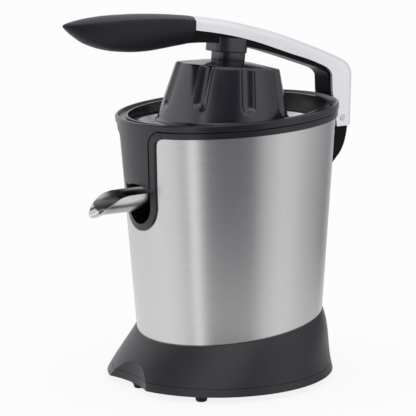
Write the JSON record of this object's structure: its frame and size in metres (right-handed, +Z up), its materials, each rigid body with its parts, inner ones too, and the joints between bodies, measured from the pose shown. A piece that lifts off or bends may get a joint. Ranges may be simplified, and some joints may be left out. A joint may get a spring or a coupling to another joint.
{
  "type": "electric citrus juicer",
  "caption": "Electric citrus juicer with a lever arm, fluted press cup, ribbed reamer in a rimmed bowl, tipping steel spout, conical steel body and flared base.",
  "frame": {"origin": "centre of the bounding box in plan, on the surface the feet stand on; the body axis lies 15 mm behind it", "axes": "+Z up, spout and grip towards -Y, hinge of the arm towards +Y, +X to the right of a viewer who looks along +Y at the spout"},
  "size_m": [0.1846, 0.267, 0.2978],
  "materials": {
    "foot_rubber": "matt",
    "base_plastic": "satin",
    "fastener_steel": "plain steel",
    "brushed_shell": "brushed round the cone",
    "rim_plastic": "semi gloss",
    "collector_plastic": "gloss",
    "polished_steel": "polished",
    "inner_plastic": "matt",
    "bearing_brass": "turned",
    "gear_plastic": "moulded",
    "motor_iron": "laminated",
    "motor_copper": "varnished wire",
    "arm_silver": "satin silver",
    "arm_plastic": "satin",
    "grip_rubber": "soft touch",
    "cup_plastic": "gloss"
  },
  "bodies": {
    "housing": {"feet": "foot_rubber", "bottom_tray": "base_plastic", "base_skirt": "base_plastic", "base_screws": "fastener_steel", "cord_inlet": "foot_rubber", "steel_shell": "brushed_shell", "rim_frame": "rim_plastic", "juice_collector": "collector_plastic", "spindle_seal": "foot_rubber", "strainer": "polished_steel", "chassis": "inner_plastic", "gear_case": "inner_plastic", "gear_cover": "inner_plastic", "spindle_bush": "bearing_brass", "idler_axle": "fastener_steel", "start_switch": "inner_plastic", "motor_stator": "motor_iron", "motor_windings": "motor_copper", "motor_bracket": "fastener_steel", "motor_bush": "bearing_brass", "motor_posts": "fastener_steel", "hinge_bracket": "arm_plastic", "bracket_screws": "fastener_steel", "hinge_pin": "polished_steel"},
    "press": {"thrust_pad": "bearing_brass", "switch_plunger": "fastener_steel", "return_spring": "fastener_steel"},
    "drive": {"spindle": "fastener_steel", "output_gear": "gear_plastic", "reamer": "collector_plastic"},
    "idler": {"idler_gear": "gear_plastic"},
    "rotor": {"motor_rotor": "motor_iron", "motor_shaft": "fastener_steel", "pinion": "bearing_brass", "cooling_fan": "gear_plastic"},
    "arm": {"arm_shell": "arm_silver", "arm_liner": "arm_plastic", "grip": "grip_rubber", "stem_block": "arm_plastic", "cup_neck": "arm_plastic", "press_cup": "cup_plastic"},
    "spout": {"spout": "polished_steel"}
  },
  "joints": [
    {"name": "arm_lift", "type": "hinge", "parent": "housing", "child": "arm", "pos_m": [0, 0.1216, 0.203], "axis": [-1, 0, 0], "range_deg": [-4.5, 75]},
    {"name": "spout_tip", "type": "hinge", "parent": "housing", "child": "spout", "pos_m": [0, -0.061, 0.155], "axis": [-1, 0, 0], "range_deg": [0, 15]},
    {"name": "spindle_press", "type": "slide", "parent": "housing", "child": "press", "axis": [0, 0, 1], "range_m": [-0.0025, 0], "stiffness_N_per_m": 4000, "springref_m": 0.001, "deforming": ["return_spring"]},
    {"name": "reamer_spin", "type": "hinge", "parent": "press", "child": "drive", "pos_m": [0, 0.015, 0.15], "axis": [0, 0, 1], "continuous": true},
    {"name": "idler_spin", "type": "hinge", "parent": "housing", "child": "idler", "pos_m": [0.02827, 0.04504, 0.13], "axis": [0, 0, 1], "continuous": true},
    {"name": "rotor_spin", "type": "hinge", "parent": "housing", "child": "rotor", "pos_m": [0, 0.035, 0.07], "axis": [0, 0, 1], "continuous": true}
  ],
  "couplings": [
    {"joint": "idler_spin", "follows": "rotor_spin", "ratio": -0.25},
    {"joint": "reamer_spin", "follows": "rotor_spin", "ratio": 0.055556}
  ]
}
